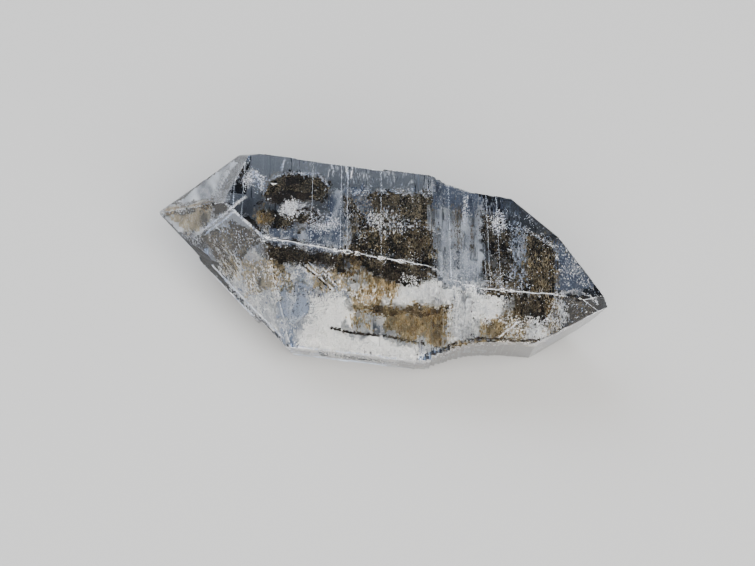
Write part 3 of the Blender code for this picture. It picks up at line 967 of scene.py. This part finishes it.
# %% Place the gas pockets
GAS_BUBBLES = (0.010, 0.030)
GAS_ZONES = [
    Zone(block(262, 195, 436, 262), (0.15, 0.9), 1.6, 1, 0, (0, 1)),
    Zone(block(480, 212, 556, 292), (0.15, 0.9), 2.6, 1, 0, (0, 1)),
    Zone(block(488, 214, 510, 233), (0.12, 0.4), 12, 1, 0, (0, 1)),
    Zone(block(240, 170, 262, 190), (0.12, 0.4), 12, 1, 0, (0, 1)),
    Zone(block(240, 262, 345, 330), (0.12, 0.6), 1.0, 1, 0, (0, 1)),
    Zone(block(350, 262, 440, 300), (0.12, 0.5), 1.6, 1, 0, (0, 1)),
    Zone(block(484, 292, 546, 336), (0.12, 0.6), 2.4, 1, 0, (0, 1)),
]
gas_material = fleck_material(
    "gas_pocket", (0.92, 0.95, 1.0), (1.0, 1.0, 1.0),
    patches=900.0, patchiness=0.2, roughness=0.06, ior=1.3, clearness=0.0, metal=1.0)
joined_copies("gas_pockets", drop, scatter(GAS_ZONES, GAS_BUBBLES, 1.0), gas_material)

# %% [markdown]
# ## Oil
# The oil lies in fine brown specks, in thin stained sheets behind them and in golden films. The specks
# are solid brown of many tones. The sheets and films let light through and tint it, so that several
# behind one another look dark.

# %% List the brown specks
OIL_SPECKS = [
    Zone([(346, 192), (432, 192), (436, 226), (350, 229)], (0.3, 2.4), 120, 3, 2, (0.1, 0.6)),
    Zone([(352, 194), (372, 196), (398, 192), (430, 197), (432, 214), (400, 219), (356, 212)],
         (0.15, 0.6), 45, 2, 2, (0.4, 0.9)),
    Zone([(342, 228), (437, 226), (438, 263), (400, 257), (346, 248)], (0.3, 2.4), 140, 3, 2, (0.0, 0.8)),
    Zone([(360, 259), (400, 262), (436, 270), (437, 278), (420, 285), (398, 285), (378, 277)],
         (0.15, 0.9), 150, 2, 2, (0.0, 0.5)),
    Zone([(262, 190), (270, 178), (285, 174), (318, 175), (330, 190), (324, 200), (268, 200)],
         (0.3, 1.3), 120, 2, 60, (0.2, 0.8)),
    Zone([(262, 216), (300, 216), (303, 231), (266, 231)], (0.2, 1.4), 120, 2, 30, (0.0, 0.6)),
    Zone([(294, 210), (312, 207), (320, 216), (310, 225), (296, 223)], (0.2, 0.8), 120, 2, 70, (0.0, 0.6)),
    Zone([(258, 241), (340, 257), (343, 271), (318, 263), (290, 263), (266, 259)],
         (0.15, 1.1), 130, 2, 40, (0.0, 0.5)),
    Zone([(203, 236), (228, 224), (250, 232), (260, 246), (240, 256), (236, 280), (216, 256)],
         (0.12, 0.9), 120, 3, -38, (-0.2, 0.7)),
    Zone([(478, 211), (491, 211), (492, 237), (479, 237)], (0.2, 1.3), 120, 3, 0, (-0.1, 0.4)),
    Zone([(493, 232), (511, 230), (511, 261), (495, 259)], (0.2, 1.5), 140, 4, 0, (0.0, 0.45)),
    Zone([(524, 228), (540, 238), (557, 250), (557, 293), (524, 292)], (0.2, 2.2), 130, 5, 0, (0.1, 0.8)),
    Zone([(484, 262), (512, 262), (524, 276), (524, 290), (485, 286)], (0.2, 1.2), 100, 2, 2, (0.1, 0.7)),
    Zone([(484, 289), (516, 292), (516, 310), (500, 309), (485, 298)], (0.15, 1.2), 100, 2, 2, (0.1, 0.7)),
    Zone([(516, 293), (549, 298), (549, 329), (517, 323)], (0.15, 1.8), 140, 3, 2, (0.0, 0.6)),
    Zone([(566, 298), (583, 304), (597, 311), (570, 324)], (0.12, 0.9), 130, 2, 30, (-0.2, 0.5)),
    Zone([(454, 202), (462, 200), (463, 253), (455, 253)], (0.2, 0.9), 60, 9, 0, (0.1, 0.5)),
]

print("oil:", len(OIL_SPECKS), "zones of brown specks")

# %% List and lay the stained sheets
OIL_SHEETS = [
    Sheet([(346, 192), (432, 192), (438, 226), (438, 263), (400, 257), (346, 247)], 1.3, 0.4, 0.35, 0.6),
    Sheet([(352, 226), (434, 226), (436, 262), (400, 256), (350, 247)], 2.2, 0.4, 0.35, 0.6),
    Sheet([(360, 260), (400, 263), (436, 271), (437, 278), (420, 284), (398, 284), (378, 277)],
          0.7, 0.2, 0.1, 0.5),
    Sheet([(262, 190), (270, 178), (285, 174), (318, 175), (330, 190), (324, 200), (268, 200)],
          0.8, 0.3, 0.3, 0.6),
    Sheet([(262, 210), (300, 214), (316, 212), (314, 226), (303, 231), (266, 231)], 1.0, 0.3, 0.25, 0.6),
    Sheet([(258, 241), (340, 257), (343, 271), (318, 263), (290, 263), (266, 259)], 0.8, 0.2, 0.15, 0.5),
    Sheet([(203, 236), (228, 224), (250, 232), (260, 246), (240, 254), (232, 272), (216, 256)],
          0.9, 0.3, 0.2, 0.6),
    Sheet([(478, 211), (512, 226), (511, 261), (490, 259), (479, 237)], 1.0, 0.3, 0.1, 0.6),
    Sheet([(524, 230), (540, 238), (557, 250), (557, 292), (524, 291)], 1.2, 0.3, 0.35, 0.6),
    Sheet([(484, 262), (524, 264), (524, 290), (485, 286)], 1.2, 0.3, 0.45, 0.5),
    Sheet([(516, 294), (556, 299), (552, 329), (517, 323)], 0.9, 0.3, 0.2, 0.5),
    Sheet([(566, 300), (583, 304), (597, 311), (570, 322)], 0.7, 0.2, -0.2, 0.4),
    Sheet([(386, 312), (400, 307), (414, 311), (432, 306), (449, 309), (449, 344), (436, 345),
           (424, 339), (408, 341), (396, 331), (384, 327), (390, 319)], 0.6, 0.2, 0.95, 0.6),
    Sheet([(362, 274), (400, 284), (398, 296), (376, 292)], 0.5, 0.1, 0.95, 0.5),
    Sheet([(368, 309), (384, 306), (400, 309), (416, 305), (434, 308), (449, 305), (449, 315), (436, 313),
           (420, 317), (402, 314), (386, 317), (372, 314)], 0.35, 0.1, 0.35, 0.4),
    Sheet([(481, 314), (525, 312), (525, 337), (483, 337)], 0.8, 0.2, 0.75, 0.4),
    Sheet([(430, 359), (456, 346), (478, 342), (540, 344), (552, 339), (593, 316), (574, 333),
           (546, 352), (500, 354), (470, 353), (436, 364)], 0.3, 0.05, 0.3, 0.8),
    Sheet([(236, 256), (262, 262), (292, 268), (290, 290), (252, 292)], 0.5, 0.1, 1.15, 0.9),
    Sheet([(300, 264), (345, 274), (348, 292), (320, 288)], 0.5, 0.1, 1.2, 0.9),
    Sheet([(352, 286), (382, 288), (380, 306), (354, 308)], 0.5, 0.1, 1.1, 0.9),
    Sheet([(164, 208), (208, 206), (206, 232), (184, 230)], 0.5, 0.1, 0.95, 0.4),
]
stain_material = fleck_material(
    "oil_stain", (0.055, 0.04, 0.025), (0.80, 0.68, 0.47),
    patches=1600.0, patchiness=1.1, roughness=0.1, ior=1.03, clearness=1.0)
lay_sheets("oil_sheets", OIL_SHEETS, stain_material)

# %% List the brown streaks
speck_material = fleck_material(
    "brown_oil", (0.014, 0.011, 0.007), (0.27, 0.220, 0.140),
    patches=900.0, patchiness=0.5, roughness=0.35, ior=1.2, clearness=0.0)
OIL_STREAKS = [
    Streak([(206, 238), (219, 256), (232, 276)], 1.4, (0.12, 0.4), 9, 4, (0.0, 0.7)),
    Streak([(212, 236), (224, 252), (236, 272)], 0.9, (0.12, 0.4), 7, 4, (0.0, 0.5)),
    Streak([(220, 238), (230, 254), (238, 270)], 0.7, (0.12, 0.4), 5, 4, (0.3, 1.0)),
    Streak([(472, 225), (472, 252)], 1.6, (0.12, 0.5), 4, 6, (0.0, 0.3)),
]
print("oil:", len(OIL_STREAKS), "streaks")

# %% Place the brown specks
SPECK_FLAKES = (0.013, 0.030)
SPECK_LINES = (0.012, 0.026)
speck_flecks = scatter(OIL_SPECKS, SPECK_FLAKES) + along(OIL_STREAKS, SPECK_LINES)
joined_copies("oil_specks", flake, speck_flecks, speck_material)

# %% [markdown]
# Where the oil is thin it glows golden. Larger and clearer flakes near the surface show that: below the
# ridge, in the band above the black thread, and at the right end.

# %% Place the golden films
FILM_FLAKES = (0.03, 0.07)
OIL_FILMS = [
    Zone([(335, 254), (362, 258), (370, 273), (352, 281), (342, 268)], (0.15, 0.8), 30, 3, 2, (0.0, 0.6)),
    Zone([(358, 275), (400, 284), (392, 300), (374, 300), (360, 292)], (0.12, 0.5), 18, 5, 0, (0.4, 0.9)),
    Zone([(364, 309), (384, 305), (400, 309), (418, 304), (434, 308), (449, 305), (449, 315), (434, 313),
          (420, 318), (402, 313), (386, 318), (368, 314)], (0.12, 0.4), 60, 2, 85, (0.2, 0.8)),
    Zone([(350, 310), (367, 308), (366, 315), (352, 316)], (0.12, 0.4), 45, 2, 85, (0.2, 0.8)),
    Zone([(384, 320), (396, 315), (449, 313), (449, 346), (434, 348), (422, 341), (406, 343), (392, 332)],
         (0.15, 0.9), 24, 3, 2, (0.3, 0.9)),
    Zone([(349, 315), (366, 314), (370, 329), (356, 331)], (0.15, 0.7), 30, 3, 2, (0.4, 1.0)),
    Zone([(256, 208), (266, 207), (273, 214), (268, 225), (257, 223)], (0.2, 0.9), 70, 2, 20, (0.3, 0.9)),
    Zone([(223, 257), (234, 260), (237, 279), (228, 275)], (0.12, 0.5), 50, 5, -38, (0.5, 1.0)),
    Zone([(548, 298), (559, 299), (557, 333), (548, 333)], (0.15, 0.9), 45, 3, 2, (0.3, 0.7)),
    Zone([(481, 316), (525, 314), (525, 339), (483, 339)], (0.15, 1.0), 40, 2, 10, (0.3, 1.0)),
    Zone([(455, 343), (497, 341), (540, 342), (538, 348), (497, 350), (455, 352)],
         (0.12, 0.4), 40, 2, 85, (0.4, 0.8)),
    Zone([(346, 226), (436, 226), (436, 262), (350, 248)], (0.3, 1.6), 12, 3, 2, (0.4, 1.0)),
    Zone([(524, 232), (556, 250), (556, 290), (524, 288)], (0.3, 1.6), 14, 4, 2, (0.4, 1.0)),
]
film_material = fleck_material(
    "oil_film", (0.30, 0.21, 0.10), (0.94, 0.82, 0.56),
    patches=1100.0, patchiness=0.6, roughness=0.15, ior=1.06, clearness=0.9)
joined_copies("oil_films", flake, scatter(OIL_FILMS, FILM_FLAKES), film_material)

# %% [markdown]
# ## Bitumen
# The oldest oil has hardened to black bitumen. It fills a few hollows, lies in threads along cracks,
# and is peppered through the brown. Small black sheets make the hollows, and flakes the rest.

# %% List the bitumen
BITUMEN_SHEETS = [
    Sheet([(213, 203), (229, 204), (226, 213), (216, 218)], 0.16, 0.03, 0.0, 0.3),
    Sheet([(228, 221), (246, 227), (262, 238), (246, 243), (226, 238)], 0.7, 0.2, 0.2, 0.6),
    Sheet([(284, 179), (297, 178), (297, 185), (285, 186)], 0.25, 0.04, 0.0, 0.3),
    Sheet([(268, 194), (290, 191), (311, 193), (306, 200), (276, 201)], 0.4, 0.08, 0.1, 0.5),
    Sheet([(567, 300), (583, 304), (594, 310), (571, 321)], 0.8, 0.1, 0.1, 0.6),
]
BITUMEN_ZONES = [
    Zone([(567, 299), (584, 304), (596, 310), (571, 322)], (0.12, 0.4), 60, 2, 30, (0, 1)),
    Zone(block(284, 178, 297, 185), (0.2, 0.4), 260, 2, 60, (0, 1)),
    Zone(block(270, 193, 311, 200), (0.25, 0.6), 160, 2, 85, (0, 1)),
    Zone([(258, 242), (342, 258), (342, 266), (265, 258)], (0.15, 0.9), 110, 2, 40, (0, 1)),
    Zone([(480, 214), (492, 214), (510, 240), (510, 260), (494, 260)], (0.3, 1.2), 50, 3, 0, (0, 1)),
    Zone([(366, 262), (400, 265), (436, 272), (420, 280), (384, 278)], (0.15, 0.6), 50, 2, 10, (0, 1)),
    Zone(block(350, 200, 438, 262), (0.3, 2.4), 26, 2, 0, (0, 1)),
    Zone(block(524, 240, 556, 290), (0.3, 2.4), 26, 2, 0, (0, 1)),
    Zone([(213, 204), (229, 204), (226, 214), (214, 218)], (0.10, 0.2), 260, 2, 40, (0, 1)),
    Zone([(228, 221), (262, 238), (246, 244), (222, 238)], (0.12, 0.5), 90, 3, -38, (0, 1)),
    Zone([(203, 236), (224, 238), (240, 250), (226, 262)], (0.12, 0.6), 60, 4, -38, (0, 1)),
    Zone([(516, 294), (560, 299), (548, 328), (517, 322)], (0.3, 1.2), 16, 2, 0, (0, 1)),
    Zone([(292, 290), (311, 290), (311, 296), (292, 296)], (0.15, 0.4), 30, 2, 80, (0, 1)),
    Zone([(237, 171), (247, 170), (246, 181), (238, 181)], (0.12, 0.3), 200, 2, 40, (0, 1)),
    Zone([(240, 260), (345, 276), (345, 300), (262, 320)], (0.12, 0.8), 3, 2, 20, (0, 1)),
    Zone([(480, 300), (545, 300), (545, 338), (484, 336)], (0.12, 0.8), 4, 2, 20, (0, 1)),
]
BITUMEN_STREAKS = [
    Streak([(331, 328), (346, 331.5), (357, 333.5), (379, 335.5)], 0.7, (0.12, 0.3), 10, 3, (0, 1)),
    Streak([(383, 335), (402, 339.5), (425, 343.5)], 0.8, (0.12, 0.4), 4, 3, (0, 1)),
    Streak([(255, 205), (262, 201), (270, 200), (283, 204)], 1.0, (0.15, 0.4), 6, 2, (0, 1)),
    Streak([(301, 264), (315, 275), (331, 290)], 0.3, (0.12, 0.25), 1.6, 4, (0, 1)),
    Streak([(296, 211), (305, 208), (316, 212), (318, 219), (308, 224)], 0.8, (0.15, 0.4), 6, 2, (0, 1)),
    Streak([(230, 167), (220, 185), (209, 203)], 1.6, (0.12, 0.3), 4, 2, (0, 1)),
    Streak([(205, 238), (215, 253), (226, 270)], 1.1, (0.12, 0.3), 6, 4, (0, 1)),
    Streak([(216, 240), (226, 256), (236, 272)], 0.9, (0.12, 0.3), 5, 4, (0, 1)),
    Streak([(231, 242), (240, 258)], 1.2, (0.12, 0.3), 5, 4, (0, 1)),
    Streak([(432, 355), (455, 343), (476, 338), (497, 339), (516, 341), (540, 340), (550, 336), (568, 326),
            (594, 312)], 0.5, (0.10, 0.16), 4, 3, (0, 1)),
]
print("bitumen:", len(BITUMEN_ZONES), "zones and", len(BITUMEN_STREAKS), "streaks")
bitumen_material = fleck_material(
    "bitumen", (0.006, 0.005, 0.005), (0.03, 0.022, 0.015),
    patches=1500.0, patchiness=0.5, roughness=0.35, ior=1.1, clearness=0.0)

# %% Place the bitumen
BITUMEN_FLAKES = (0.018, 0.040)
BITUMEN_LINES = (0.018, 0.035)
lay_sheets("bitumen_sheets", BITUMEN_SHEETS, bitumen_material)
black_flecks = scatter(BITUMEN_ZONES, BITUMEN_FLAKES) + along(BITUMEN_STREAKS, BITUMEN_LINES)
joined_copies("bitumen", flake, black_flecks, bitumen_material)

# %% [markdown]
# ## Worn edges
# Where two faces meet, knocks have bruised the quartz into a white line of frost. The edges of the
# welded mesh say where that is. The long ridge below the top face is the worst.

# %% Find the worn edges
SHARP = math.radians(28)
NEAR = math.radians(30)
UP_FACE = Vector((0.0, 0.0, 1.0))
FRONT_FACE = Vector((0.0, -0.87, 0.5))
STEP_WALL = 0.9 * MM * MM
FLOOR_LINE = 0.06 * MM
RIDGE_WEAR = 2.4
EDGE_WEAR = 1.0


def wear_of(edge):
    """How much an edge is worn: most on the long ridge, not at all on growth steps and blunt edges."""
    if len(edge.link_faces) != 2:
        return 0
    first, second = (face.normal for face in edge.link_faces)
    if first.angle(second) < SHARP or min(vertex.co.z for vertex in edge.verts) < FLOOR_LINE:
        return 0
    for up, front in ((first, second), (second, first)):
        if up.angle(UP_FACE) < NEAR and front.angle(FRONT_FACE) < NEAR:
            return RIDGE_WEAR
    if min(face.calc_area() for face in edge.link_faces) < STEP_WALL:
        return 0
    return EDGE_WEAR


worn = [(edge, wear_of(edge)) for edge in welded.edges]
worn = [(edge, wear) for edge, wear in worn if wear]
print(len(worn), "of", len(welded.edges), "edges are worn")

# %% [markdown]
# The frost is made of the same flakes, set just under the surface along each worn edge. A bevel would
# give a clean narrow face instead, where real wear comes in patches, so noise leaves parts of the edge
# whole. In the waist the photograph shows the ridge nearly bare, so most of its frost is left out there.

# %% Frost them
FROST_STEP = 0.014 * MM
FROST_PATCH = 0.7 * MM
FROST_SIZES = (0.008, 0.016)
FROST_SPREAD = 0.007 * MM
FROST_BARE = (-0.4, 0.5)
FROST_DEPTHS = (0.5, 1.5)
FROST_STRETCH = (1, 3)
WEAR_FILLS = 0.22
WAIST_MIDDLE = 3.9 * MM
WAIST_HALF = 1.1 * MM
WAIST_BARE = 0.75


def frost_edge(edge, wear):
    """Flecks in patches along one edge, just under the surface. The ridge is barer in the waist."""
    start, end = edge.verts[0].co, edge.verts[1].co
    normal = (edge.link_faces[0].normal + edge.link_faces[1].normal).normalized()
    side = (end - start).normalized().cross(normal)
    facing = (end - start).to_track_quat("Y", "Z").to_euler()
    flecks = []
    for _ in range(round(edge.calc_length() / FROST_STEP * wear)):
        point = start.lerp(end, dice.random())
        in_waist = wear == RIDGE_WEAR and abs(point.x - WAIST_MIDDLE) < WAIST_HALF
        if noise.noise(point / FROST_PATCH) + WEAR_FILLS * wear < dice.uniform(*FROST_BARE):
            continue
        if in_waist and dice.random() < WAIST_BARE:
            continue
        size = dice.uniform(*FROST_SIZES) * MM
        point += side * dice.gauss(0, FROST_SPREAD) - normal * size * dice.uniform(*FROST_DEPTHS)
        length = size * dice.uniform(*FROST_STRETCH)
        flecks.append(Fleck(point, facing, Vector((size, length, size)), dice.random()))
    return flecks


frost = [fleck for edge, wear in worn for fleck in frost_edge(edge, wear)]
welded.free()
frost_material = fleck_material(
    "edge_frost", (0.50, 0.54, 0.62), (1.0, 1.0, 1.0),
    patches=900.0, patchiness=0.6, roughness=0.6, ior=1.4, clearness=0.0)
joined_copies("worn_edges", flake, frost, frost_material)

# %% [markdown]
# ## Floor
# The crystal lies on a plain pale floor, which shows through the clear parts and mirrors in the faces.
# It belongs to the stage and not to the crystal, so it doesn't ride with it. It lies a hair below the
# resting face, because two faces in the same plane would flicker.

# %% Lay the floor
FLOOR_HALF = 1.5
FLOOR_DROP = 0.02 * MM
FLOOR_GREY = (0.29, 0.29, 0.29, 1.0)
FLOOR_ROUGHNESS = 0.8
floor_mesh = bpy.data.meshes.new("floor")
ground = bmesh.new()
bmesh.ops.create_grid(ground, x_segments=1, y_segments=1, size=FLOOR_HALF)
bmesh.ops.translate(ground, verts=ground.verts, vec=(0, 0, -FLOOR_DROP))
ground.to_mesh(floor_mesh)
ground.free()
floor = bpy.data.objects.new("floor", floor_mesh)
bpy.context.scene.collection.objects.link(floor)
floor_material, floor_shader, _ = new_material("pale_floor")
floor_shader.inputs["Base Color"].default_value = FLOOR_GREY
floor_shader.inputs["Roughness"].default_value = FLOOR_ROUGHNESS
floor.data.materials.append(floor_material)
print("floor is", 2 * FLOOR_HALF, "m wide")

# %% [markdown]
# ## Light
# Three large soft lights stand round the crystal: a cool one behind its left end, a strong warm one in
# front, and a weak one overhead. They are large because light reaches the flecks only after it bends
# through a face, and a small lamp would be missed by most of those bent paths. A faint grey-blue world
# fills the shadows.

# %% Hang the soft lights
WORLD_COLOUR = (0.85, 0.90, 1.0, 1.0)
WORLD_STRENGTH = 0.22


def softbox(name, turn, rise, distance, width, height, power, colour):
    """Hangs a rectangular soft light that faces the crystal, with turn and rise in degrees."""
    data = bpy.data.lights.new(name, "AREA")
    data.shape = "RECTANGLE"
    data.size = width
    data.size_y = height
    data.energy = power
    data.color = colour
    light = bpy.data.objects.new(name, data)
    bpy.context.scene.collection.objects.link(light)
    place = compass(math.radians(turn), math.radians(rise))
    light.location = place * distance
    light.rotation_mode = "QUATERNION"
    light.rotation_quaternion = (-place).to_track_quat("-Z", "Y")
    light.visible_camera = False


softbox("sky_light", turn=-125, rise=52, distance=0.55, width=0.50, height=0.40, power=3.6,
        colour=(0.78, 0.87, 1.0))
softbox("front_light", turn=20, rise=44, distance=0.60, width=0.85, height=0.55, power=21.5,
        colour=(1.0, 0.97, 0.92))
softbox("top_light", turn=110, rise=80, distance=0.60, width=0.45, height=0.45, power=1.5,
        colour=(1.0, 0.99, 0.97))
world = bpy.data.worlds.new("studio")
bpy.context.scene.world = world
world.use_nodes = True
world.node_tree.nodes["Background"].inputs["Color"].default_value = WORLD_COLOUR
world.node_tree.nodes["Background"].inputs["Strength"].default_value = WORLD_STRENGTH
print("lights:", [light.name for light in bpy.data.lights])
